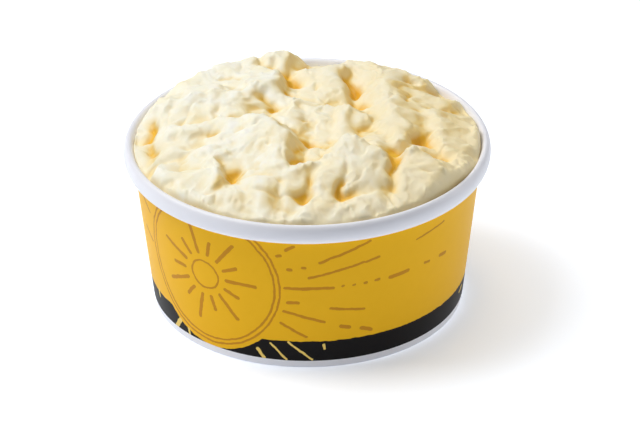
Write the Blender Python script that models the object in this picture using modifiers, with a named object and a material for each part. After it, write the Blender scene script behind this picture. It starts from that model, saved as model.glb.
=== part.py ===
"""A side of mashed potato heaped in its round paper tub, with the tub standing on z = 0 around the Z axis.

The tub is two pieces of board, as real ones are: a conical side wall, curled outwards into the rim and folded
in at the foot, and a base disc whose skirt is held inside that fold. The potato is one solid that fills the
tub down to the base and rises above the rim in spooned folds and lobes. Lengths are in metres, except where
a name or a comment says millimetres.
"""

import math

import bmesh
import bpy
import numpy as np

MM = 0.001

# Driving dimensions of the tub.
RIM_RADIUS = 0.0580
RIM_TOP = 0.0547
CURL_WIDTH = 0.0033
CURL_HEIGHT = 0.0063
FOOT_RADIUS = 0.0494
WALL_LEAN = 0.113
BOARD = 0.00045
GAP = 0.0003

# The foot: the wall folds in round the skirt of the base disc.
FLAP_TOP = 0.0066
FOLD_RADIUS = 0.0005
SKIRT_BOTTOM = 0.0010
BASE_UNDERSIDE = 0.0069

SIDES = 60
QUARTER_TURN = math.pi / 2

# The curl turns from the wall's inner side, over the top and under, and stops short of the wall.
CURL_START = math.pi
CURL_END = math.radians(-120)
CURL_STEPS = 10
FOLD_STEPS = 2

# The potato.
HEAP_CELLS = 40
HEAP_TOP_RADIUS_MM = 54.2

# Heights of the heap, in millimetres above the rim.
FLOOR_CENTRE = 3.4
FLOOR_FALL = 6.4
EDGE_LEVEL = -2.4
EDGE_FALL = 1.5
EDGE_WAVE = 0.9
EDGE_CELL = 14.0
SHOULDER = 4.4
BLEND = 0.6
CREST_SOFTNESS = 0.5
END_SLOPE = 1.4

# How far the potato wanders from its drawn lines, and over what length, in millimetres.
WARP = 1.4
WARP_CELL = 6.0
CREST_WANDER = 1.3
CREST_WANDER_CELL = 5.0
CREST_RISE = 0.5
CREST_RISE_CELL = 3.5
LUMP = 0.8
LUMP_CELL = 5.2

# The random lattice: values along each side, radians that each seed turns it by, and the seeds in use.
LATTICE = 64
SEED_TURN = 0.7
WARP_SEEDS = (11, 12)
EDGE_SEED = 13
LUMP_SEED = 16
FOLD_SEED = 20
SEEDS_PER_FOLD = 3

# Each fold of potato, in millimetres: where its crest starts (x, y, height above the rim) and where it ends, how
# steeply it falls on the left and on the right of that run, and how blunt its crest is.
FOLDS = (
    # rim of the mound along the left and the back
    ((-44, -16, 4.6), (-46, 12, 4.4), 1.3, 0.15, 0.8),
    ((-46, 12, 4.6), (-39, 28, 6.4), 1.2, 0.25, 0.8),
    ((-39, 28, 6.4), (-28, 39, 7.4), 1.1, 0.35, 0.8),
    ((-28, 39, 7.4), (-17, 44, 7.0), 0.9, 0.5, 1.0),
    ((-24, 32, 7.2), (-15, 36, 7.8), 0.5, 0.6, 1.0),
    ((-11, 45.5, 8.6), (-7, 45, 8.2), 1.0, 0.8, 2.6),
    ((14, 43, 5.2), (24, 41, 5.8), 0.9, 0.4, 1.0),
    ((24, 41, 5.6), (36, 33, 3.6), 0.9, 0.4, 1.0),
    # back left ridge with its ribbed face to the front
    ((-46, 13, 6.0), (-37, 16, 8.6), 0.5, 0.5, 0.8),
    ((-37, 16, 8.8), (-29, 17, 9.6), 0.4, 0.5, 0.6),
    ((-27, 14, 8.6), (-12, 19, 10.0), 0.4, 0.6, 0.6),
    ((-12, 19, 10.0), (-7, 31, 9.4), 0.35, 1.5, 0.6),
    ((-38, 5, 5.6), (-37, 14, 8.0), 0.7, 0.5, 0.8),
    ((-30, 3, 5.8), (-30, 14, 8.8), 0.5, 0.7, 0.8),
    ((-22, 4, 6.4), (-23, 14, 8.8), 0.5, 0.7, 0.8),
    # middle left ridge and its torn tip
    ((-43, -5, 6.6), (-25, -4, 9.2), 0.7, 0.8, 0.5),
    ((-25, -4, 9.6), (-14, -4, 11.8), 0.9, 0.5, 0.5),
    ((-24, -20, 6.6), (-24, -6, 8.8), 0.5, 0.8, 0.6),
    ((-8, -32, 7.6), (-7, -15, 11.2), 0.34, 2.0, 0.5),
    ((-14, -6, 11.8), (-8, -13, 11.6), 1.0, 0.5, 0.4),
    # slab behind the middle, its cliff, and the torn shelf in front
    ((-1, 35, 5.8), (11, 36, 7.0), 0.5, 0.2, 0.6),
    ((12, 19, 5.6), (11, 35, 7.0), 0.15, 2.4, 0.3),
    ((1, 11, 6.0), (14, 9, 7.6), 0.9, 0.22, 0.3),
    ((14, 9, 7.6), (19, 5, 6.4), 1.0, 0.35, 0.3),
    ((-5, -3, 6.0), (-3, 15, 7.2), 0.5, 0.7, 0.8),
    # long swirl at the right and the slabs beyond it
    ((30, -13, 6.0), (27, 11, 7.8), 0.45, 0.6, 0.5),
    ((27, 11, 7.8), (24, 35, 6.8), 0.5, 0.65, 0.5),
    ((32, 27, 3.8), (45, 20, 2.2), 0.7, 0.3, 0.4),
    ((34, 18, 3.8), (50, 6, 1.8), 0.5, 0.35, 0.4),
    ((36, 12, 4.0), (52, -2, 1.6), 0.7, 0.4, 0.4),
    ((44, -13, 3.8), (39, 9, 5.8), 0.9, 0.45, 0.5),
    ((50, -10, 2.2), (52, 3, 2.0), 0.9, 0.5, 0.8),
    # front right dome and the lobe beside it
    ((5, -28, 8.4), (12.6, -19, 11.6), 1.3, 0.3, 0.3),
    ((12.6, -19, 11.6), (22, -23, 9.2), 0.9, 0.3, 0.3),
    ((22, -23, 9.0), (26, -34, 6.6), 1.6, 0.3, 0.5),
    ((11, -29, 8.8), (20, -30, 8.4), 0.3, 0.95, 3.5),
    ((29, -34, 5.4), (33, -23, 8.6), 1.0, 0.45, 0.4),
    ((33, -23, 8.4), (41, -30, 6.2), 1.0, 0.5, 0.4),
    ((36, -42, 2.6), (35, -30, 6.6), 0.9, 0.7, 1.0),
    ((45, -25, 2.0), (48, -14, 2.8), 0.9, 0.6, 0.8),
    ((40, -38, 1.2), (42, -29, 4.4), 0.9, 0.9, 0.5),
    # pillars and low lobes at the front
    ((-4, -22, 5.0), (4, -18, 4.8), 0.3, 0.3, 1.5),
    ((-6, -31, 7.6), (6, -30, 7.8), 1.0, 0.4, 0.4),
    ((-13, -46, 2.6), (-10, -33, 7.0), 0.5, 0.6, 1.6),
    ((-4, -46, 3.0), (-4, -33, 7.0), 0.8, 1.6, 1.2),
    ((6.5, -46, 3.0), (6.5, -32, 7.4), 1.6, 2.0, 1.0),
    ((9, -47, 2.4), (22, -43, 3.8), 0.8, 0.7, 0.5),
    ((-2, -50, 1.2), (9, -50, 1.4), 0.6, 0.6, 0.8),
    ((-19, -49, 1.2), (-8, -50, 1.6), 0.6, 0.6, 0.8),
    ((-28, -34, 6.0), (-28, -18, 7.6), 0.5, 1.1, 0.6),
    ((-14, -47, 2.8), (-15, -37, 7.2), 1.2, 0.4, 0.5),
    ((-36, -38, 2.6), (-19, -41, 4.0), 0.3, 0.6, 1.0),
    ((-45, -24, 3.0), (-36, -37, 3.2), 0.3, 0.9, 1.0),
    # low ledges between the mound and the rim at the left
    ((-51, 4, 0.4), (-49, 14, 1.0), 0.5, 0.3, 0.8),
    ((-52, -12, -0.2), (-51, -3, 0.4), 0.5, 0.3, 0.8),
)

# Each dent, in millimetres: its middle (x, y), depth, half length and half width, and which way its length
# runs in degrees from +X.
DENTS = (
    ((-4, 31), 4.5, 5.5, 2.4, -50),
    ((-12, 14), 2.6, 4.5, 1.6, -65),
    ((-29, -8), 2.2, 3.0, 1.6, 20),
    ((14, 28), 4.5, 6.0, 2.4, -75),
    ((18, 15), 2.5, 4.0, 2.4, -60),
    ((33, 32), 2.4, 3.0, 1.6, 10),
    ((36, -8), 3.2, 3.4, 2.0, 30),
    ((-1, -11), 4.0, 4.5, 2.0, -5),
    ((-23, -31), 2.4, 4.0, 1.8, 80),
    ((-1, -45), 2.2, 3.0, 2.0, 20),
    ((12, -43), 2.2, 3.0, 1.8, 20),
    ((26, -37), 2.4, 4.0, 2.0, 70),
    ((1.5, -38), 2.2, 6.0, 1.1, 85),
    ((11, -38), 2.0, 6.0, 1.1, 85),
    ((-49.5, 6), 2.6, 5.0, 1.4, 85),
    ((-49, -8), 2.4, 4.0, 1.4, 95),
    ((27, -29), 2.6, 5.0, 1.6, 80),
    ((-50, -23), 2.0, 4.0, 2.0, -60),
    ((46, -33), 2.0, 3.0, 2.0, 40),
    ((53, -12), 2.0, 3.0, 2.0, 70),
)

SHARP_ANGLE = math.radians(35)
SCREW_MERGE = 0.00005
BOARD_WHITE = (0.87, 0.87, 0.89)
BASE_WHITE = (0.84, 0.84, 0.85)
POTATO_CREAM = (0.93, 0.86, 0.62)


def noise(x, y, cell, seed):
    """Smooth random values between -1 and 1 at points x, y, one lump to a cell, on a lattice turned by the seed."""
    table = np.random.default_rng(seed).uniform(-1, 1, (LATTICE, LATTICE))
    turn = SEED_TURN * seed
    u = (x * math.cos(turn) - y * math.sin(turn)) / cell
    v = (x * math.sin(turn) + y * math.cos(turn)) / cell
    i = np.floor(u).astype(int)
    j = np.floor(v).astype(int)
    f = u - i
    g = v - j
    f = f * f * f * (f * (f * 6 - 15) + 10)
    g = g * g * g * (g * (g * 6 - 15) + 10)
    left = i % LATTICE
    right = (i + 1) % LATTICE
    near = table[left, j % LATTICE] * (1 - f) + table[right, j % LATTICE] * f
    far = table[left, (j + 1) % LATTICE] * (1 - f) + table[right, (j + 1) % LATTICE] * f
    return near * (1 - g) + far * g


def fold_height(x, y, fold, seed):
    """Height in millimetres of one fold: a wavering crest with straight flanks."""
    start, end, left, right, blunt = fold
    blunt = blunt + CREST_SOFTNESS
    run = (end[0] - start[0], end[1] - start[1])
    length = math.hypot(*run)
    along = (run[0] / length, run[1] / length)
    s = (x - start[0]) * along[0] + (y - start[1]) * along[1]
    t = (y - start[1]) * along[0] - (x - start[0]) * along[1]
    t = t + CREST_WANDER * noise(s, 0 * s, CREST_WANDER_CELL, seed)
    part = np.clip(s / length, 0, 1)
    top = start[2] * (1 - part) + end[2] * part
    top = top + CREST_RISE * noise(s, 0 * s, CREST_RISE_CELL, seed + 2)
    flank = np.where(t > 0, left, right) * t
    beyond = END_SLOPE * (s - part * length)
    return top + blunt - np.sqrt(blunt**2 + flank**2 + beyond**2)


def dent_depth(x, y, dent):
    """How deep one dent is, in millimetres, at points x, y."""
    middle, depth, length, width, turn = dent
    along = (math.cos(math.radians(turn)), math.sin(math.radians(turn)))
    s = (x - middle[0]) * along[0] + (y - middle[1]) * along[1]
    t = (y - middle[1]) * along[0] - (x - middle[0]) * along[1]
    return depth * np.exp(-(s / length) ** 2 - (t / width) ** 2)


def heap_height(x, y):
    """Height of the heap in millimetres above the rim, at points in millimetres from the tub's axis."""
    wx = x + WARP * noise(x, y, WARP_CELL, WARP_SEEDS[0])
    wy = y + WARP * noise(x, y, WARP_CELL, WARP_SEEDS[1])
    r = np.hypot(x, y)
    floor = FLOOR_CENTRE - FLOOR_FALL * (r / HEAP_TOP_RADIUS_MM) ** 2
    total = np.exp(floor / BLEND)
    for number, fold in enumerate(FOLDS):
        crest = fold_height(wx, wy, fold, FOLD_SEED + SEEDS_PER_FOLD * number)
        total = total + np.exp(crest / BLEND)
    height = BLEND * np.log(total)
    for dent in DENTS:
        height = height - dent_depth(wx, wy, dent)
    height = height + LUMP * np.abs(noise(wx, wy, LUMP_CELL, LUMP_SEED)) - LUMP / 4
    edge = EDGE_LEVEL - EDGE_FALL * y / HEAP_TOP_RADIUS_MM + EDGE_WAVE * noise(x, y, EDGE_CELL, EDGE_SEED)
    shoulder = edge + SHOULDER * np.sqrt(np.maximum(HEAP_TOP_RADIUS_MM - r, 0))
    return -BLEND * np.log(np.exp(-height / BLEND) + np.exp(-shoulder / BLEND))


def wall_radius(z):
    """Radius of the side wall's outer face at height z."""
    return FOOT_RADIUS + WALL_LEAN * z


def material(name, colour, roughness):
    made = bpy.data.materials.new(name)
    made.use_nodes = True
    shader = made.node_tree.nodes["Principled BSDF"]
    shader.inputs["Base Color"].default_value = (*colour, 1)
    shader.inputs["Roughness"].default_value = roughness
    shader.inputs["Metallic"].default_value = 0.0
    return made


def add_object(name, mesh, surface, collection):
    mesh.materials.append(surface)
    mesh.shade_smooth()
    mesh.set_sharp_from_angle(angle=SHARP_ANGLE)
    made = bpy.data.objects.new(name, mesh)
    collection.objects.link(made)
    return made


def arc(centre, width, height, start, end, steps):
    """Points (radius, z) along part of an ellipse, without its first point."""
    points = []
    for step in range(1, steps + 1):
        angle = start + (end - start) * step / steps
        points.append((centre[0] + width * math.cos(angle), centre[1] + height * math.sin(angle)))
    return points


def turned_board(name, profile, surface, collection):
    """A sheet of board turned round the Z axis, with the profile as the middle of its thickness."""
    mesh = bpy.data.meshes.new(name)
    edges = [(i, i + 1) for i in range(len(profile) - 1)]
    mesh.from_pydata([(radius, 0, z) for radius, z in profile], edges, [])
    board = add_object(name, mesh, surface, collection)
    turn = board.modifiers.new("turn", "SCREW")
    turn.steps = SIDES
    turn.render_steps = SIDES
    turn.use_merge_vertices = True
    turn.merge_threshold = SCREW_MERGE
    sheet = board.modifiers.new("board", "SOLIDIFY")
    sheet.thickness = BOARD
    sheet.offset = 0
    sheet.use_even_offset = True
    return board


def build_sidewall(collection):
    """The wall from its inner flap, round the flat foot, up the cone and round the curl."""
    half = BOARD / 2
    inset = 2 * (BOARD + GAP)
    flap = wall_radius(0) - half - inset
    outer = wall_radius(0) - half
    bend = half + FOLD_RADIUS
    profile = [(flap + WALL_LEAN * FLAP_TOP, FLAP_TOP)]
    profile.append((flap, bend))
    profile += arc((flap + FOLD_RADIUS, bend), FOLD_RADIUS, FOLD_RADIUS,
                   2 * QUARTER_TURN, 3 * QUARTER_TURN, FOLD_STEPS)
    profile.append((outer - FOLD_RADIUS, half))
    profile += arc((outer - FOLD_RADIUS, bend), FOLD_RADIUS, FOLD_RADIUS,
                   -QUARTER_TURN, 0, FOLD_STEPS)
    curl_centre = (RIM_RADIUS - CURL_WIDTH / 2, RIM_TOP - CURL_HEIGHT / 2)
    curl_width = CURL_WIDTH / 2 - half
    profile.append((curl_centre[0] - curl_width, curl_centre[1]))
    profile += arc(curl_centre, curl_width, CURL_HEIGHT / 2 - half, CURL_START, CURL_END, CURL_STEPS)
    return turned_board("sidewall", profile, material("coated white board", BOARD_WHITE, 0.4), collection)


def build_base_disc(collection):
    """The flat base, held up off the table, with its skirt down inside the foot's fold."""
    half = BOARD / 2
    skirt = wall_radius(0) - half - BOARD - GAP
    level = BASE_UNDERSIDE + half
    edge = skirt + WALL_LEAN * level
    profile = [(0, level), (edge - FOLD_RADIUS, level)]
    profile += arc((edge - FOLD_RADIUS, level - FOLD_RADIUS), FOLD_RADIUS, FOLD_RADIUS,
                   QUARTER_TURN, 0, FOLD_STEPS)
    profile.append((skirt + WALL_LEAN * SKIRT_BOTTOM, SKIRT_BOTTOM))
    return turned_board("base_disc", profile, material("plain white board", BASE_WHITE, 0.55), collection)


def round_from_square(u, v):
    """The polar place in a unit disc of a point u, v of the square from -1 to 1."""
    if u == 0 and v == 0:
        return 0.0, 0.0
    if abs(u) > abs(v):
        return u, (math.pi / 4) * v / u
    return v, math.pi / 2 - (math.pi / 4) * u / v


def build_mashed_potato(collection):
    """The potato: a fine grid drawn round and raised into the heap, with sides and a flat bottom below it."""
    shape = bmesh.new()
    bmesh.ops.create_grid(shape, x_segments=HEAP_CELLS, y_segments=HEAP_CELLS, size=1)
    shape.verts.ensure_lookup_table()
    places = [round_from_square(vertex.co.x, vertex.co.y) for vertex in shape.verts]
    x = np.array([HEAP_TOP_RADIUS_MM * radius * math.cos(angle) for radius, angle in places])
    y = np.array([HEAP_TOP_RADIUS_MM * radius * math.sin(angle) for radius, angle in places])
    heights = heap_height(x, y)
    for vertex, px, py, height in zip(shape.verts, x, y, heights):
        vertex.co = (px * MM, py * MM, RIM_TOP + height * MM)
    boundary = [edge for edge in shape.edges if edge.is_boundary]
    lowered = bmesh.ops.extrude_edge_only(shape, edges=boundary)["geom"]
    bottom = BASE_UNDERSIDE + BOARD + GAP
    bottom_radius = wall_radius(bottom) - BOARD - GAP
    for vertex in (item for item in lowered if isinstance(item, bmesh.types.BMVert)):
        angle = math.atan2(vertex.co.y, vertex.co.x)
        vertex.co = (bottom_radius * math.cos(angle), bottom_radius * math.sin(angle), bottom)
    bmesh.ops.holes_fill(shape, edges=[edge for edge in shape.edges if edge.is_boundary])
    bmesh.ops.recalc_face_normals(shape, faces=shape.faces)
    mesh = bpy.data.meshes.new("mashed_potato")
    shape.to_mesh(mesh)
    shape.free()
    return add_object("mashed_potato", mesh, material("mashed potato", POTATO_CREAM, 0.5), collection)


def main():
    for old in list(bpy.data.objects):
        bpy.data.objects.remove(old)
    collection = bpy.data.collections.new("mashed_potato_side")
    bpy.context.scene.collection.children.link(collection)
    build_sidewall(collection)
    build_base_disc(collection)
    build_mashed_potato(collection)


main()
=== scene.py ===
"""Looks of a side of mashed potato heaped in a printed paper tub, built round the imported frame."""
import math

import bmesh
import bpy
import numpy as np
from mathutils import Euler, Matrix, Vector


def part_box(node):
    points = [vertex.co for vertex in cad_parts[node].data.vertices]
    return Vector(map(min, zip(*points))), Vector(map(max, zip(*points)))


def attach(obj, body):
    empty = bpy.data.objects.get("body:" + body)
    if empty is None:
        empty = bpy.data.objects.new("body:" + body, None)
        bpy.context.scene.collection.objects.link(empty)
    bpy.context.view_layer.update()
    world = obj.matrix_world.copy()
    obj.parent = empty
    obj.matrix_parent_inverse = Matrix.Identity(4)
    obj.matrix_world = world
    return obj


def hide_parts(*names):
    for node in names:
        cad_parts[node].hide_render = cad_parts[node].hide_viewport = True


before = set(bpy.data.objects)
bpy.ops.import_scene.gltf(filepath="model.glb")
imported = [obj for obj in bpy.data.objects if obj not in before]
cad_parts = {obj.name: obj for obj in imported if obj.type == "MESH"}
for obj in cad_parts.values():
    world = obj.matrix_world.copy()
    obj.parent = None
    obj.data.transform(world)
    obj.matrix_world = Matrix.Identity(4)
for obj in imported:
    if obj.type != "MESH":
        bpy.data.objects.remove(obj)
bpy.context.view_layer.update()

MM = 0.001

# The tub, from the frame: the rim's outer radius and top, and the foot on the table.
wall_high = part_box("sidewall")[1]
RIM_RADIUS = wall_high.x
RIM_TOP = wall_high.z
FOOT_RADIUS = 0.0494
WALL_LEAN = 0.113
BOARD = 0.00045
GAP = 0.0003
CURL_WIDTH = 0.0033
CURL_HEIGHT = 0.0063
FLAP_TOP = 0.0066
FOLD_RADIUS = 0.0005
FOOT_BAND = 0.0029
PRINT_TUCK = 0.0006
BASE_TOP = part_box("base_disc")[1].z

ROUND_STEPS = 240
FOLD_STEPS = 5
CURL_STEPS = 28
CURL_END = math.radians(-135)
QUARTER_TURN = math.pi / 2
FULL_TURN = 2 * math.pi
WELD = 1e-7
SMALLEST_PRINTED_FACE = 1e-6

# The print is drawn in millimetres on the wall, unrolled at this radius, and comes twice round the tub.
PRINT_RADIUS = 52.0
PRINT_REPEAT = math.pi * PRINT_RADIUS

# The heap, in millimetres: heights are above the rim.
HEAP_CELLS = 300
HEAP_RADIUS = 54.9
FLOOR_CENTRE = 3.4
FLOOR_FALL = 6.4
EDGE_LEVEL = -2.4
EDGE_FALL = 1.5
SHOULDER = 4.4
BLEND = 0.6
SLUMP = 0.7
CREST_SOFTNESS = 0.5
END_SLOPE = 1.4

# The potato's random wandering, in millimetres: how far each kind goes, and how wide one of its lumps is.
WARP = (1.4, 6.0)
FINE_WARP = (0.45, 2.4)
CREST_WANDER = (1.3, 5.0)
CREST_RIPPLE = (0.4, 2.4)
CREST_RISE = (0.5, 3.5)
EDGE_WAVE = (0.9, 14.0)
LUMPS = (0.8, 5.2)
TEARS = (0.45, 3.0)
GRAINS = (0.16, 1.5)
CRUMBS = (0.7, 1.3)
LUMP_SINK = 0.2

# The random lattice: values along each side, radians that each seed turns it by, and the seeds in use.
LATTICE = 64
SEED_TURN = 0.7
WARP_SEEDS = (11, 12)
EDGE_SEED = 13
FINE_WARP_SEEDS = (14, 15)
LUMP_SEED = 16
TEAR_SEED = 17
CRUMB_SEED = 18
GRAIN_SEED = 19
FOLD_SEED = 20
SEEDS_PER_FOLD = 3

# Crests crumble: fully for each of these millimetres above the surroundings, less the share that starts it.
CRUMBLE_HEIGHT = 0.8
CRUMBLE_START = 0.3

# Where painted shade goes, lengths in millimetres: golden in creases and pits, low down, and on slopes that
# face the front right, away from the key lamp, and less of it near the wall.
CREASE_REACH = 1.6
CREASE_SHARE = 0.25
PIT_REACH = 4.5
PIT_START = 0.3
PIT_DEPTH = 3.2
LOW_LEVEL = 9
LOW_SHARE = 0.16
SLOPE_REACH = 0.8
SLOPE_AWAY = (0.9, 0.4)
SLOPE_START = 0.08
SLOPE_MOST = 0.6
SLOPE_SHARE = 0.85
WALL_REACH = 6.0
WALL_SHARE = 0.25

# Each fold of potato, in millimetres: where its crest starts (x, y, height above the rim) and where it ends,
# how steeply it falls on the left and on the right of that run, and how blunt its crest is.
FOLDS = (
    # rim of the mound along the left and the back
    ((-44, -16, 4.6), (-46, 12, 4.4), 1.3, 0.15, 0.8),
    ((-46, 12, 4.6), (-39, 28, 6.4), 1.2, 0.25, 0.8),
    ((-39, 28, 6.4), (-28, 39, 7.4), 1.1, 0.35, 0.8),
    ((-28, 39, 7.4), (-17, 44, 7.0), 0.9, 0.5, 1.0),
    ((-24, 32, 7.2), (-15, 36, 7.8), 0.5, 0.6, 1.0),
    ((-11, 45.5, 8.6), (-7, 45, 8.2), 1.0, 0.8, 2.6),
    ((14, 43, 5.2), (24, 41, 5.8), 0.9, 0.4, 1.0),
    ((24, 41, 5.6), (36, 33, 3.6), 0.9, 0.4, 1.0),
    # back left ridge with its ribbed face to the front
    ((-46, 13, 6.0), (-37, 16, 8.6), 0.5, 0.5, 0.8),
    ((-37, 16, 8.8), (-29, 17, 9.6), 0.4, 0.5, 0.6),
    ((-27, 14, 8.6), (-12, 19, 10.0), 0.4, 0.6, 0.6),
    ((-12, 19, 10.0), (-7, 31, 9.4), 0.35, 1.5, 0.6),
    ((-38, 5, 5.6), (-37, 14, 8.0), 0.7, 0.5, 0.8),
    ((-30, 3, 5.8), (-30, 14, 8.8), 0.5, 0.7, 0.8),
    ((-22, 4, 6.4), (-23, 14, 8.8), 0.5, 0.7, 0.8),
    # middle left ridge and its torn tip
    ((-43, -5, 6.6), (-25, -4, 9.2), 0.7, 0.8, 0.5),
    ((-25, -4, 9.6), (-14, -4, 11.8), 0.9, 0.5, 0.5),
    ((-24, -20, 6.6), (-24, -6, 8.8), 0.5, 0.8, 0.6),
    ((-8, -32, 7.6), (-7, -15, 11.2), 0.34, 2.0, 0.5),
    ((-14, -6, 11.8), (-8, -13, 11.6), 1.0, 0.5, 0.4),
    # slab behind the middle, its cliff, and the torn shelf in front
    ((-1, 35, 5.8), (11, 36, 7.0), 0.5, 0.2, 0.6),
    ((12, 19, 5.6), (11, 35, 7.0), 0.15, 2.4, 0.3),
    ((1, 11, 6.0), (14, 9, 7.6), 0.9, 0.22, 0.3),
    ((14, 9, 7.6), (19, 5, 6.4), 1.0, 0.35, 0.3),
    ((-5, -3, 6.0), (-3, 15, 7.2), 0.5, 0.7, 0.8),
    # long swirl at the right and the slabs beyond it
    ((30, -13, 6.0), (27, 11, 7.8), 0.45, 0.6, 0.5),
    ((27, 11, 7.8), (24, 35, 6.8), 0.5, 0.65, 0.5),
    ((32, 27, 3.8), (45, 20, 2.2), 0.7, 0.3, 0.4),
    ((34, 18, 3.8), (50, 6, 1.8), 0.5, 0.35, 0.4),
    ((36, 12, 4.0), (52, -2, 1.6), 0.7, 0.4, 0.4),
    ((44, -13, 3.8), (39, 9, 5.8), 0.9, 0.45, 0.5),
    ((50, -10, 2.2), (52, 3, 2.0), 0.9, 0.5, 0.8),
    # front right dome and the lobe beside it
    ((5, -28, 8.4), (12.6, -19, 11.6), 1.3, 0.3, 0.3),
    ((12.6, -19, 11.6), (22, -23, 9.2), 0.9, 0.3, 0.3),
    ((22, -23, 9.0), (26, -34, 6.6), 1.6, 0.3, 0.5),
    ((11, -29, 8.8), (20, -30, 8.4), 0.3, 0.95, 3.5),
    ((29, -34, 5.4), (33, -23, 8.6), 1.0, 0.45, 0.4),
    ((33, -23, 8.4), (41, -30, 6.2), 1.0, 0.5, 0.4),
    ((36, -42, 2.6), (35, -30, 6.6), 0.9, 0.7, 1.0),
    ((45, -25, 2.0), (48, -14, 2.8), 0.9, 0.6, 0.8),
    ((40, -38, 1.2), (42, -29, 4.4), 0.9, 0.9, 0.5),
    # pillars and low lobes at the front
    ((-4, -22, 5.0), (4, -18, 4.8), 0.3, 0.3, 1.5),
    ((-6, -31, 7.6), (6, -30, 7.8), 1.0, 0.4, 0.4),
    ((-13, -46, 2.6), (-10, -33, 7.0), 0.5, 0.6, 1.6),
    ((-4, -46, 3.0), (-4, -33, 7.0), 0.8, 1.6, 1.2),
    ((6.5, -46, 3.0), (6.5, -32, 7.4), 1.6, 2.0, 1.0),
    ((9, -47, 2.4), (22, -43, 3.8), 0.8, 0.7, 0.5),
    ((-2, -50, 1.2), (9, -50, 1.4), 0.6, 0.6, 0.8),
    ((-19, -49, 1.2), (-8, -50, 1.6), 0.6, 0.6, 0.8),
    ((-28, -34, 6.0), (-28, -18, 7.6), 0.5, 1.1, 0.6),
    ((-14, -47, 2.8), (-15, -37, 7.2), 1.2, 0.4, 0.5),
    ((-36, -38, 2.6), (-19, -41, 4.0), 0.3, 0.6, 1.0),
    ((-45, -24, 3.0), (-36, -37, 3.2), 0.3, 0.9, 1.0),
    # low ledges between the mound and the rim at the left
    ((-51, 4, 0.4), (-49, 14, 1.0), 0.5, 0.3, 0.8),
    ((-52, -12, -0.2), (-51, -3, 0.4), 0.5, 0.3, 0.8),
)

# Each dent, in millimetres: its middle (x, y), depth, half length and half width, and which way its length
# runs in degrees from +X.
DENTS = (
    ((-4, 31), 4.5, 5.5, 2.4, -50),
    ((-12, 14), 2.6, 4.5, 1.6, -65),
    ((-29, -8), 2.2, 3.0, 1.6, 20),
    ((14, 28), 4.5, 6.0, 2.4, -75),
    ((18, 15), 2.5, 4.0, 2.4, -60),
    ((33, 32), 2.4, 3.0, 1.6, 10),
    ((36, -8), 3.2, 3.4, 2.0, 30),
    ((-1, -11), 4.0, 4.5, 2.0, -5),
    ((-23, -31), 2.4, 4.0, 1.8, 80),
    ((-1, -45), 2.2, 3.0, 2.0, 20),
    ((12, -43), 2.2, 3.0, 1.8, 20),
    ((26, -37), 2.4, 4.0, 2.0, 70),
    ((1.5, -38), 2.2, 6.0, 1.1, 85),
    ((11, -38), 2.0, 6.0, 1.1, 85),
    ((-49.5, 6), 2.6, 5.0, 1.4, 85),
    ((-49, -8), 2.4, 4.0, 1.4, 95),
    ((27, -29), 3.4, 6.0, 1.8, 78),
    ((-50, -23), 2.0, 4.0, 2.0, -60),
    ((46, -33), 2.0, 3.0, 2.0, 40),
    ((53, -12), 2.0, 3.0, 2.0, 70),
)

# The print, in millimetres on the unrolled wall: u to the right from the front and v up from the table.
BAND_TOP = 10.4
EDGE_WOBBLE = (0.9, 0.9, 0.0)
WOBBLES_PER_MM = 0.35
MEDALLION = (-34.0, 29.8)
MEDALLION_RADIUS = 27.0
RING_RADII = (25.2, 23.6)
RING_WIDTH = 0.7
INK_SPREAD = 0.35
RAY_COUNT = 14
RAY_RADII = (8.0, 17.5)
RAY_WIDTH = 0.9
HUB_RADIUS = 5.0

# Each stroke: start u, start v, end u, end v and width.
OCHRE_STROKES = (
    (-6.5, 44.9, -4.4, 46.2, 0.8),
    (-9.2, 42.5, -8.3, 42.7, 0.7),
    (-6.1, 37.5, -5.2, 37.5, 0.9),
    (-1.6, 38.4, -1.0, 38.4, 0.6),
    (3.4, 40.2, 18.4, 46.3, 0.6),
    (0.2, 34.6, 16.8, 38.8, 0.55),
    (17.6, 38.7, 21.6, 39.7, 0.6),
    (-7.1, 30.6, 7.4, 30.5, 0.8),
    (10.4, 30.8, 10.8, 30.9, 0.4),
    (13.8, 30.8, 14.2, 30.9, 0.5),
    (17.4, 30.9, 17.8, 31.0, 0.6),
    (21.0, 31.0, 21.9, 31.2, 0.8),
    (25.8, 30.8, 32.3, 31.3, 1.0),
    (39.1, 31.6, 40.9, 31.4, 0.6),
    (46.1, 31.2, 48.7, 31.0, 0.9),
    (34.7, 41.9, 46.1, 43.7, 0.35),
    (-6.3, 25.0, -3.3, 25.1, 0.9),
    (-7.7, 21.8, 4.8, 17.7, 0.7),
    (6.9, 22.7, 17.5, 21.0, 0.6),
    (-8.8, 17.1, -0.9, 12.1, 0.6),
    (10.2, 15.6, 12.8, 14.9, 1.1),
    (17.1, 13.9, 20.2, 12.6, 1.1),
    (-63.8, 44.3, -59.8, 41.0, 0.6),
    (-65.8, 33.0, -61.1, 29.9, 0.6),
)
PALE_STROKES = (
    (-63.0, 10.7, -62.7, 8.5, 0.7),
    (-51.3, 3.2, -48.5, 6.6, 1.3),
    (-44.5, 4.9, -44.3, 3.2, 0.6),
    (-16.8, 6.2, -14.9, 3.2, 0.9),
    (-12.3, 9.0, -7.5, 3.3, 0.4),
    (-6.6, 10.0, 1.0, 3.4, 0.4),
    (4.8, 9.0, 5.0, 7.6, 0.5),
    (65.6, 7.3, 68.3, 8.3, 0.6),
)

# Each lamp: name, azimuth from +X towards +Y, elevation, distance, side and watts.
LAMPS = (
    ("key_lamp", 173, 56, 1.6, 0.9, 18),
    ("top_lamp", 80, 80, 1.6, 1.2, 9.0),
    ("edge_lamp", 15, 16, 1.5, 0.6, 4.0),
)
AIR_STRENGTH = 0.07
FLOOR_REACH = 3
CAMERA_PLACE = (0, -1.1392, 0.6563)
CAMERA_TURN = (61.12, 0.338, -0.381)
CAMERA_LENS = 229.6
CAMERA_SENSOR = 36


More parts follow.
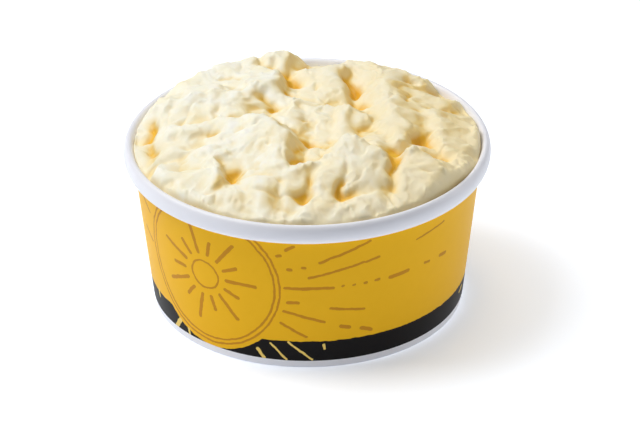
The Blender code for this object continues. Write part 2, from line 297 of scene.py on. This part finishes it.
def linear(code):
    """An sRGB colour such as "F2E3B1" as linear red, green, blue and alpha."""
    parts = [int(code[i:i + 2], 16) / 255 for i in (0, 2, 4)]
    return tuple(c / 12.92 if c <= 0.04045 else ((c + 0.055) / 1.055) ** 2.4 for c in parts) + (1.0,)


def add(tree, kind, settings=None, inputs=None):
    """A new node with its settings, and with each input set to a value or linked from a socket."""
    made = tree.nodes.new(kind)
    for name, value in (settings or {}).items():
        setattr(made, name, value)
    for name, value in (inputs or {}).items():
        if isinstance(value, bpy.types.NodeSocket):
            tree.links.new(value, made.inputs[name])
        else:
            made.inputs[name].default_value = value
    return made


def new_material(name):
    """An empty node material and its output node."""
    made = bpy.data.materials.new(name)
    made.use_nodes = True
    made.node_tree.nodes.clear()
    return made, made.node_tree, made.node_tree.nodes.new("ShaderNodeOutputMaterial")


def mashed_potato_material():
    """Buttery mashed potato: moist and faintly glossy, cream on the crests, painted shade golden deep in the
    creases and tan to the right.
    """
    made, tree, output = new_material("buttery_mashed_potato")
    place = add(tree, "ShaderNodeTexCoord")
    painted_shade = add(tree, "ShaderNodeAttribute", {"attribute_name": "painted_shade"})
    drift = add(tree, "ShaderNodeTexNoise", inputs={
        "Vector": place.outputs["Object"], "Scale": 1 / (9 * MM), "Detail": 3.0, "Roughness": 0.55})
    speck = add(tree, "ShaderNodeTexNoise", inputs={
        "Vector": place.outputs["Object"], "Scale": 1 / (1.6 * MM), "Detail": 2.0, "Roughness": 0.5})
    patchy = add(tree, "ShaderNodeMapRange", inputs={
        "Value": drift.outputs["Fac"], "From Min": 0.35, "From Max": 0.8})
    flesh = add(tree, "ShaderNodeMix", {"data_type": "RGBA"},
                {"Factor": patchy.outputs["Result"], "A": linear("FDFBEE"), "B": linear("F8EFD0")})
    # Painted shade from the heap's attribute: tan where it is slight and deep gold where it is strong, in
    # creases, pits, low places and on slopes facing the front right.
    slight = add(tree, "ShaderNodeMapRange", inputs={"Value": painted_shade.outputs["Fac"], "From Max": 0.5})
    strong = add(tree, "ShaderNodeMapRange", inputs={
        "Value": painted_shade.outputs["Fac"], "From Min": 0.42, "From Max": 0.95})
    # Painted shade: on top of its random patches, the potato turns tan towards the right side, away from the
    # key lamp.
    axes = add(tree, "ShaderNodeSeparateXYZ", inputs={"Vector": place.outputs["Object"]})
    across = add(tree, "ShaderNodeMapRange", inputs={
        "Value": axes.outputs["X"], "From Min": -25 * MM, "From Max": 45 * MM, "To Min": -0.5, "To Max": 0.5})
    patches_and_right_shade = add(tree, "ShaderNodeMath", {"operation": "MULTIPLY_ADD", "use_clamp": True},
                 {0: drift.outputs["Fac"], 1: 1.0, 2: across.outputs["Result"]})
    patched_and_right_shaded = add(tree, "ShaderNodeMix", {"data_type": "RGBA"},
               {"Factor": patches_and_right_shade.outputs[0], "A": flesh.outputs["Result"], "B": linear("F6E8C2")})
    tan_shade = add(tree, "ShaderNodeMix", {"data_type": "RGBA"},
              {"Factor": slight.outputs["Result"], "A": patched_and_right_shaded.outputs["Result"], "B": linear("F0DAA0")})
    golden_shade = add(tree, "ShaderNodeMix", {"data_type": "RGBA"},
                 {"Factor": strong.outputs["Result"], "A": tan_shade.outputs["Result"], "B": linear("E9B83E")})
    gloss = add(tree, "ShaderNodeMapRange", inputs={
        "Value": drift.outputs["Fac"], "From Min": 0.35, "From Max": 0.65, "To Min": 0.42, "To Max": 0.6})
    grain = add(tree, "ShaderNodeBump", inputs={
        "Height": speck.outputs["Fac"], "Strength": 0.18, "Distance": 0.3 * MM})
    shader = add(tree, "ShaderNodeBsdfPrincipled", inputs={
        "Base Color": golden_shade.outputs["Result"], "Roughness": gloss.outputs["Result"],
        "Normal": grain.outputs["Normal"], "IOR": 1.4, "Specular IOR Level": 0.4,
        "Subsurface Weight": 0.2, "Subsurface Scale": 3 * MM, "Subsurface Radius": (1.0, 0.85, 0.6)})
    tree.links.new(shader.outputs["BSDF"], output.inputs["Surface"])
    return made


def white_board_material():
    """Bleached board with a thin polyethylene film: white, satin, with faint fibre under the film."""
    made, tree, output = new_material("film_coated_white_board")
    place = add(tree, "ShaderNodeTexCoord")
    fibre = add(tree, "ShaderNodeTexNoise", inputs={
        "Vector": place.outputs["Object"], "Scale": 1 / (0.8 * MM), "Detail": 4.0, "Roughness": 0.6})
    cloud = add(tree, "ShaderNodeTexNoise", inputs={
        "Vector": place.outputs["Object"], "Scale": 1 / (14 * MM), "Detail": 2.0})
    white = add(tree, "ShaderNodeMix", {"data_type": "RGBA"},
                {"Factor": cloud.outputs["Fac"], "A": linear("F0F0F6"), "B": linear("ECECF2")})
    gloss = add(tree, "ShaderNodeMapRange", inputs={
        "Value": cloud.outputs["Fac"], "From Min": 0.3, "From Max": 0.7, "To Min": 0.34, "To Max": 0.46})
    relief = add(tree, "ShaderNodeBump", inputs={
        "Height": fibre.outputs["Fac"], "Strength": 0.06, "Distance": 0.1 * MM})
    shader = add(tree, "ShaderNodeBsdfPrincipled", inputs={
        "Base Color": white.outputs["Result"], "Roughness": gloss.outputs["Result"],
        "Normal": relief.outputs["Normal"], "IOR": 1.5})
    tree.links.new(shader.outputs["BSDF"], output.inputs["Surface"])
    return made


def medallion_rays():
    """A plain sunburst in the middle of the medallion, every other ray short."""
    rays = []
    inner, outer = RAY_RADII
    for count in range(RAY_COUNT):
        turn = FULL_TURN * count / RAY_COUNT
        reach = outer if count % 2 == 0 else (inner + outer) / 2
        rays.append((MEDALLION[0] + inner * math.cos(turn), MEDALLION[1] + inner * math.sin(turn),
                     MEDALLION[0] + reach * math.cos(turn), MEDALLION[1] + reach * math.sin(turn), RAY_WIDTH))
    return rays


def either(tree, mask, other):
    """The larger of two masks, or the second alone while there is no first."""
    if mask is None:
        return other
    return add(tree, "ShaderNodeMath", {"operation": "MAXIMUM"}, {0: mask, 1: other}).outputs[0]


def stroke_mask(tree, u, v, strokes):
    """1 inside any of the strokes and 0 outside: a stroke's line is nearer there than half its width."""
    mask = None
    for start_u, start_v, end_u, end_v, width in strokes:
        run = (end_u - start_u, end_v - start_v)
        length_squared = run[0] ** 2 + run[1] ** 2
        du = add(tree, "ShaderNodeMath", {"operation": "SUBTRACT"}, {0: u, 1: start_u})
        dv = add(tree, "ShaderNodeMath", {"operation": "SUBTRACT"}, {0: v, 1: start_v})
        part = add(tree, "ShaderNodeMath", {"operation": "MULTIPLY"},
                   {0: du.outputs[0], 1: run[0] / length_squared})
        along = add(tree, "ShaderNodeMath", {"operation": "MULTIPLY_ADD", "use_clamp": True},
                    {0: dv.outputs[0], 1: run[1] / length_squared, 2: part.outputs[0]})
        off_u = add(tree, "ShaderNodeMath", {"operation": "MULTIPLY_ADD"},
                    {0: along.outputs[0], 1: -run[0], 2: du.outputs[0]})
        off_v = add(tree, "ShaderNodeMath", {"operation": "MULTIPLY_ADD"},
                    {0: along.outputs[0], 1: -run[1], 2: dv.outputs[0]})
        square = add(tree, "ShaderNodeMath", {"operation": "MULTIPLY"},
                     {0: off_v.outputs[0], 1: off_v.outputs[0]})
        both = add(tree, "ShaderNodeMath", {"operation": "MULTIPLY_ADD"},
                   {0: off_u.outputs[0], 1: off_u.outputs[0], 2: square.outputs[0]})
        inside = add(tree, "ShaderNodeMath", {"operation": "LESS_THAN"},
                     {0: both.outputs[0], 1: ((width + INK_SPREAD) / 2) ** 2})
        mask = either(tree, mask, inside.outputs[0])
    return mask


def printed_board_material():
    """The same board printed in yellow, black and ochre under a satin varnish, with hand-cut edges."""
    made, tree, output = new_material("printed_varnished_board")
    unrolled = add(tree, "ShaderNodeUVMap", {"uv_map": "print"})
    wobble = add(tree, "ShaderNodeTexNoise", inputs={
        "Vector": unrolled.outputs["UV"], "Scale": WOBBLES_PER_MM, "Detail": 3.0, "Roughness": 0.6})
    shift = add(tree, "ShaderNodeVectorMath", {"operation": "SUBTRACT"},
                {0: wobble.outputs["Color"], 1: (0.5, 0.5, 0.5)})
    drawn = add(tree, "ShaderNodeVectorMath", {"operation": "MULTIPLY_ADD"},
                {0: shift.outputs["Vector"], 1: EDGE_WOBBLE, 2: unrolled.outputs["UV"]})
    axes = add(tree, "ShaderNodeSeparateXYZ", inputs={"Vector": drawn.outputs["Vector"]})
    u, v = axes.outputs["X"], axes.outputs["Y"]

    from_centre = add(tree, "ShaderNodeVectorMath", {"operation": "DISTANCE"},
                      {0: drawn.outputs["Vector"], 1: (*MEDALLION, 0.0)})
    distance = from_centre.outputs["Value"]
    below = add(tree, "ShaderNodeMath", {"operation": "LESS_THAN"}, {0: v, 1: BAND_TOP})
    outside = add(tree, "ShaderNodeMath", {"operation": "GREATER_THAN"}, {0: distance, 1: MEDALLION_RADIUS})
    band = add(tree, "ShaderNodeMath", {"operation": "MULTIPLY"},
               {0: below.outputs[0], 1: outside.outputs[0]})
    rings = None
    for radius in (*RING_RADII, HUB_RADIUS):
        apart = add(tree, "ShaderNodeMath", {"operation": "COMPARE"},
                    {0: distance, 1: radius, 2: RING_WIDTH / 2})
        rings = either(tree, rings, apart.outputs[0])
    ochre = either(tree, rings, stroke_mask(tree, u, v, [*OCHRE_STROKES, *medallion_rays()]))
    pale = stroke_mask(tree, u, v, PALE_STROKES)

    yellow = add(tree, "ShaderNodeMix", {"data_type": "RGBA"},
                 {"Factor": wobble.outputs["Fac"], "A": linear("F6BD1C"), "B": linear("F2B814")})
    lined = add(tree, "ShaderNodeMix", {"data_type": "RGBA"},
                {"Factor": ochre, "A": yellow.outputs["Result"], "B": linear("CB8A1C")})
    banded = add(tree, "ShaderNodeMix", {"data_type": "RGBA"},
                 {"Factor": band.outputs[0], "A": lined.outputs["Result"], "B": linear("100D0E")})
    streaked = add(tree, "ShaderNodeMix", {"data_type": "RGBA"},
                   {"Factor": pale, "A": banded.outputs["Result"], "B": linear("F0D070")})
    shader = add(tree, "ShaderNodeBsdfPrincipled", inputs={
        "Base Color": streaked.outputs["Result"], "Roughness": 0.45, "IOR": 1.48,
        "Specular IOR Level": 0.1})
    tree.links.new(shader.outputs["BSDF"], output.inputs["Surface"])
    return made


def wall_radius(z):
    """Radius of the side wall's outer face at height z."""
    return FOOT_RADIUS + WALL_LEAN * z


def arc(centre, width, height, start, end, steps):
    """Points (radius, z) along part of an ellipse, without its first point."""
    points = []
    for step in range(1, steps + 1):
        angle = start + (end - start) * step / steps
        points.append((centre[0] + width * math.cos(angle), centre[1] + height * math.sin(angle)))
    return points


def sidewall_profile():
    """The middle of the board, from the inner flap round the foot, up the cone and round the curl."""
    half = BOARD / 2
    flap = wall_radius(0) - half - 2 * (BOARD + GAP)
    outer = wall_radius(0) - half
    bend = half + FOLD_RADIUS
    profile = [(flap + WALL_LEAN * FLAP_TOP, FLAP_TOP), (flap, bend)]
    profile += arc((flap + FOLD_RADIUS, bend), FOLD_RADIUS, FOLD_RADIUS, 2 * QUARTER_TURN, 3 * QUARTER_TURN,
                   FOLD_STEPS)
    profile.append((outer - FOLD_RADIUS, half))
    profile += arc((outer - FOLD_RADIUS, bend), FOLD_RADIUS, FOLD_RADIUS, -QUARTER_TURN, 0, FOLD_STEPS)
    profile.append((outer + WALL_LEAN * FOOT_BAND, FOOT_BAND))
    curl = (RIM_RADIUS - CURL_WIDTH / 2, RIM_TOP - CURL_HEIGHT / 2)
    curl_width = CURL_WIDTH / 2 - half
    print_top = RIM_TOP - CURL_HEIGHT + PRINT_TUCK
    profile.append((outer + WALL_LEAN * print_top, print_top))
    profile.append((curl[0] - curl_width, curl[1]))
    profile += arc(curl, curl_width, CURL_HEIGHT / 2 - half, math.pi, CURL_END, CURL_STEPS)
    return profile, print_top


def build_sidewall():
    """The turned wall, curl and foot, with the print on the cone between the foot band and the curl."""
    profile, print_top = sidewall_profile()
    shape = bmesh.new()
    line = [shape.verts.new((0, -radius, z)) for radius, z in profile]
    edges = [shape.edges.new(pair) for pair in zip(line, line[1:])]
    bmesh.ops.spin(shape, geom=line + edges, cent=(0, 0, 0), axis=(0, 0, 1), angle=FULL_TURN,
                   steps=ROUND_STEPS, use_merge=True)
    bmesh.ops.remove_doubles(shape, verts=shape.verts, dist=WELD)
    bmesh.ops.recalc_face_normals(shape, faces=shape.faces)
    unrolled = shape.loops.layers.uv.new("print")
    middle = (FOOT_BAND + print_top) / 2
    printed = [face for face in shape.faces if FOOT_BAND < face.calc_center_median().z < print_top
               and face.calc_center_median().xy.length > wall_radius(face.calc_center_median().z) - BOARD
               and face.calc_area() > SMALLEST_PRINTED_FACE]
    probe = min(printed, key=lambda face: abs(face.calc_center_median().z - middle))
    if probe.normal.dot(probe.calc_center_median()) < 0:
        bmesh.ops.reverse_faces(shape, faces=shape.faces)
    for face in printed:
        face.material_index = 1
        centre = face.calc_center_median()
        centre_angle = math.atan2(centre.x, -centre.y)
        for loop in face.loops:
            angle = math.atan2(loop.vert.co.x, -loop.vert.co.y)
            angle += FULL_TURN * round((centre_angle - angle) / FULL_TURN)
            u = angle * PRINT_RADIUS
            turn = math.floor((centre_angle * PRINT_RADIUS + PRINT_REPEAT / 2) / PRINT_REPEAT)
            loop[unrolled].uv = (u - turn * PRINT_REPEAT, loop.vert.co.z / MM)
    for face in shape.faces:
        face.smooth = True
    mesh = bpy.data.meshes.new("tub_sidewall")
    shape.to_mesh(mesh)
    shape.free()
    mesh.materials.append(WHITE_BOARD)
    mesh.materials.append(PRINTED_BOARD)
    wall = bpy.data.objects.new("tub_sidewall", mesh)
    bpy.context.scene.collection.objects.link(wall)
    board = wall.modifiers.new("board", "SOLIDIFY")
    board.thickness = BOARD
    board.offset = 0
    board.use_even_offset = True
    board.material_offset = -1
    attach(wall, "root")
    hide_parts("sidewall")
    return wall


def noise(x, y, cell, seed):
    """Smooth random values from -1 to 1 at points x, y, a lump to a cell, the lattice turned by the seed."""
    table = np.random.default_rng(seed).uniform(-1, 1, (LATTICE, LATTICE))
    turn = SEED_TURN * seed
    u = (x * math.cos(turn) - y * math.sin(turn)) / cell
    v = (x * math.sin(turn) + y * math.cos(turn)) / cell
    i = np.floor(u).astype(int)
    j = np.floor(v).astype(int)
    f = u - i
    g = v - j
    f = f * f * f * (f * (f * 6 - 15) + 10)
    g = g * g * g * (g * (g * 6 - 15) + 10)
    left = i % LATTICE
    right = (i + 1) % LATTICE
    near = table[left, j % LATTICE] * (1 - f) + table[right, j % LATTICE] * f
    far = table[left, (j + 1) % LATTICE] * (1 - f) + table[right, (j + 1) % LATTICE] * f
    return near * (1 - g) + far * g


def wander(x, y, kind, seed):
    """Random values in millimetres of one kind: how far it goes and how wide one of its lumps is."""
    size, cell = kind
    return size * noise(x, y, cell, seed)


def fold_height(x, y, fold, seed):
    """Height in millimetres of one fold: a wavering crest with straight flanks."""
    start, end, left, right, blunt = fold
    blunt = blunt + CREST_SOFTNESS
    run = (end[0] - start[0], end[1] - start[1])
    length = math.hypot(*run)
    along = (run[0] / length, run[1] / length)
    s = (x - start[0]) * along[0] + (y - start[1]) * along[1]
    t = (y - start[1]) * along[0] - (x - start[0]) * along[1]
    t = t + wander(s, 0 * s, CREST_WANDER, seed) + wander(s, t, CREST_RIPPLE, seed + 1)
    part = np.clip(s / length, 0, 1)
    top = start[2] * (1 - part) + end[2] * part + wander(s, 0 * s, CREST_RISE, seed + 2)
    flank = np.where(t > 0, left, right) * t
    beyond = END_SLOPE * (s - part * length)
    return top + blunt - np.sqrt(blunt**2 + flank**2 + beyond**2)


def dent_depth(x, y, dent):
    """How deep one dent is, in millimetres, at points x, y."""
    middle, depth, length, width, turn = dent
    along = (math.cos(math.radians(turn)), math.sin(math.radians(turn)))
    s = (x - middle[0]) * along[0] + (y - middle[1]) * along[1]
    t = (y - middle[1]) * along[0] - (x - middle[0]) * along[1]
    return depth * np.exp(-(s / length) ** 2 - (t / width) ** 2)


def heap_height(x, y):
    """Height of the heap in millimetres above the rim, at points in millimetres from the tub's axis."""
    wx = x + wander(x, y, WARP, WARP_SEEDS[0]) + wander(x, y, FINE_WARP, FINE_WARP_SEEDS[0])
    wy = y + wander(x, y, WARP, WARP_SEEDS[1]) + wander(x, y, FINE_WARP, FINE_WARP_SEEDS[1])
    r = np.hypot(x, y)
    floor = FLOOR_CENTRE - FLOOR_FALL * (r / HEAP_RADIUS) ** 2
    total = np.exp(floor / BLEND)
    for number, fold in enumerate(FOLDS):
        seed = FOLD_SEED + SEEDS_PER_FOLD * number
        total = total + np.exp(fold_height(wx, wy, fold, seed) / BLEND)
    height = BLEND * np.log(total)
    for dent in DENTS:
        height = height - dent_depth(wx, wy, dent)
    height = blurred(height.reshape(HEAP_CELLS + 1, -1), SLUMP * HEAP_CELLS / (2 * HEAP_RADIUS)).ravel()
    edge = EDGE_LEVEL - EDGE_FALL * y / HEAP_RADIUS + wander(x, y, EDGE_WAVE, EDGE_SEED)
    shoulder = edge + SHOULDER * np.sqrt(np.maximum(HEAP_RADIUS - r, 0))
    height = -BLEND * np.log(np.exp(-height / BLEND) + np.exp(-shoulder / BLEND))
    return (height + np.abs(wander(wx, wy, LUMPS, LUMP_SEED)) - np.abs(wander(wx, wy, TEARS, TEAR_SEED))
            + wander(wx, wy, GRAINS, GRAIN_SEED) - LUMP_SINK)


def blurred(field, reach):
    """A square field of values, each averaged with its neighbours over about this many cells."""
    waves = np.fft.fftfreq(len(field)) ** 2
    fall = np.exp(-2 * (math.pi * reach) ** 2 * (waves[:, None] + waves[None, :]))
    return np.real(np.fft.ifft2(np.fft.fft2(field) * fall))


def round_from_square(u, v):
    """The place in a unit disc of points u, v of the square from -1 to 1, as x and y."""
    wide = np.abs(u) > np.abs(v)
    radius = np.where(wide, u, v)
    across = np.where(wide, v, u) / np.where(radius == 0, 1, radius)
    angle = np.where(wide, across * math.pi / 4, QUARTER_TURN - across * math.pi / 4)
    return radius * np.cos(angle), radius * np.sin(angle)


def painted_shade_share(x, y, height, field, cell):
    """How much painted shade each point of the heap gets, from 0 to 1; the field is the heights in rows."""
    # Painted shade: golden in creases, pits and low places, and on slopes that fall away from the key lamp to
    # the front right.
    crease = blurred(field, CREASE_REACH / cell) - field
    pit = blurred(field, PIT_REACH / cell) - field
    to_back, to_right = np.gradient(blurred(field, SLOPE_REACH / cell), cell)
    away = SLOPE_AWAY[1] * to_back - SLOPE_AWAY[0] * to_right
    share = CREASE_SHARE * np.clip(crease, 0, 1) + np.clip((pit - PIT_START) / PIT_DEPTH, 0, 1)
    share = share + SLOPE_SHARE * np.clip(away - SLOPE_START, 0, SLOPE_MOST)
    share = share.ravel() + LOW_SHARE * np.clip(1 - height / LOW_LEVEL, 0, 1)
    from_wall = (HEAP_RADIUS - np.hypot(x, y)) / WALL_REACH
    return np.clip(share * np.clip(from_wall, WALL_SHARE, 1), 0, 1)


def build_mashed_potato():
    """The heap: a fine grid drawn round, raised into folds, with sides down the wall and a flat bottom.

    Its vertices run along X first and then along Y, so a field of heights has a row for each step back.
    """
    shape = bmesh.new()
    bmesh.ops.create_grid(shape, x_segments=HEAP_CELLS, y_segments=HEAP_CELLS, size=1)
    flat = np.array([vertex.co.xy for vertex in shape.verts])
    x, y = round_from_square(flat[:, 0], flat[:, 1])
    x, y = x * HEAP_RADIUS, y * HEAP_RADIUS
    height = heap_height(x, y)
    cell = 2 * HEAP_RADIUS / HEAP_CELLS
    field = height.reshape(HEAP_CELLS + 1, -1)
    crest = height - blurred(field, CREASE_REACH / cell).ravel()
    crumbling = np.clip(crest / CRUMBLE_HEIGHT - CRUMBLE_START, 0, 1)
    height = height + crumbling * wander(x, y, CRUMBS, CRUMB_SEED)
    # Painted shade for each point, kept in an attribute that the potato's material reads.
    share = painted_shade_share(x, y, height, field, cell)
    painted_shade = shape.verts.layers.float.new("painted_shade")
    for vertex, px, py, pz, shade_share in zip(shape.verts, x, y, height, share):
        vertex.co = (px * MM, py * MM, RIM_TOP + pz * MM)
        vertex[painted_shade] = shade_share
    boundary = [edge for edge in shape.edges if edge.is_boundary]
    lowered = bmesh.ops.extrude_edge_only(shape, edges=boundary)["geom"]
    bottom = BASE_TOP + GAP
    bottom_radius = wall_radius(bottom) - BOARD - GAP
    for vertex in (item for item in lowered if isinstance(item, bmesh.types.BMVert)):
        angle = math.atan2(vertex.co.y, vertex.co.x)
        vertex.co = (bottom_radius * math.cos(angle), bottom_radius * math.sin(angle), bottom)
    bmesh.ops.holes_fill(shape, edges=[edge for edge in shape.edges if edge.is_boundary])
    bmesh.ops.recalc_face_normals(shape, faces=shape.faces)
    for face in shape.faces:
        face.smooth = True
    mesh = bpy.data.meshes.new("mashed_potato_heap")
    shape.to_mesh(mesh)
    shape.free()
    mesh.materials.append(MASHED_POTATO)
    heap = bpy.data.objects.new("mashed_potato_heap", mesh)
    bpy.context.scene.collection.objects.link(heap)
    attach(heap, "root")
    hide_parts("mashed_potato")
    return heap


def build_floor():
    """A plain pale floor, large enough to fill the view."""
    shape = bmesh.new()
    bmesh.ops.create_grid(shape, x_segments=1, y_segments=1, size=FLOOR_REACH)
    mesh = bpy.data.meshes.new("studio_floor")
    shape.to_mesh(mesh)
    shape.free()
    made, tree, output = new_material("pale_studio_floor")
    place = add(tree, "ShaderNodeTexCoord")
    cloud = add(tree, "ShaderNodeTexNoise", inputs={"Vector": place.outputs["Object"], "Scale": 3.0})
    pale = add(tree, "ShaderNodeMix", {"data_type": "RGBA"},
               {"Factor": cloud.outputs["Fac"], "A": linear("EEF5FF"), "B": linear("EBF3FF")})
    shader = add(tree, "ShaderNodeBsdfPrincipled", inputs={
        "Base Color": pale.outputs["Result"], "Roughness": 0.9, "Emission Color": linear("FFFFFF"),
        "Emission Strength": 0.41})
    tree.links.new(shader.outputs["BSDF"], output.inputs["Surface"])
    mesh.materials.append(made)
    floor = bpy.data.objects.new("studio_floor", mesh)
    bpy.context.scene.collection.objects.link(floor)


def area_light(name, azimuth, elevation, distance, size, watts):
    """A white square lamp aimed at the tub from an azimuth and an elevation, in degrees."""
    lamp = bpy.data.lights.new(name, "AREA")
    lamp.size = size
    lamp.energy = watts
    made = bpy.data.objects.new(name, lamp)
    bpy.context.scene.collection.objects.link(made)
    side, up = math.radians(azimuth), math.radians(elevation)
    away = Vector((math.cos(side) * math.cos(up), math.sin(side) * math.cos(up), math.sin(up)))
    made.location = away * distance
    made.rotation_euler = away.to_track_quat("Z", "Y").to_euler()


def build_stage():
    """The floor, the lamps, the faint light of the room and the camera."""
    build_floor()
    for lamp in LAMPS:
        area_light(*lamp)
    world = bpy.data.worlds.new("studio_air")
    world.use_nodes = True
    world.node_tree.nodes["Background"].inputs["Color"].default_value = (1, 1, 1, 1)
    world.node_tree.nodes["Background"].inputs["Strength"].default_value = AIR_STRENGTH
    bpy.context.scene.world = world
    lens = bpy.data.cameras.new("camera")
    lens.lens = CAMERA_LENS
    lens.sensor_width = CAMERA_SENSOR
    lens.clip_start = 0.05
    lens.clip_end = 20
    camera = bpy.data.objects.new("camera", lens)
    camera.location = CAMERA_PLACE
    camera.rotation_euler = Euler([math.radians(angle) for angle in CAMERA_TURN])
    bpy.context.scene.collection.objects.link(camera)
    bpy.context.scene.camera = camera
    bpy.context.scene.view_settings.view_transform = "Standard"


MASHED_POTATO = mashed_potato_material()
WHITE_BOARD = white_board_material()
PRINTED_BOARD = printed_board_material()

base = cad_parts["base_disc"]
base.data.materials.clear()
base.data.materials.append(WHITE_BOARD)
build_sidewall()
build_mashed_potato()
build_stage()
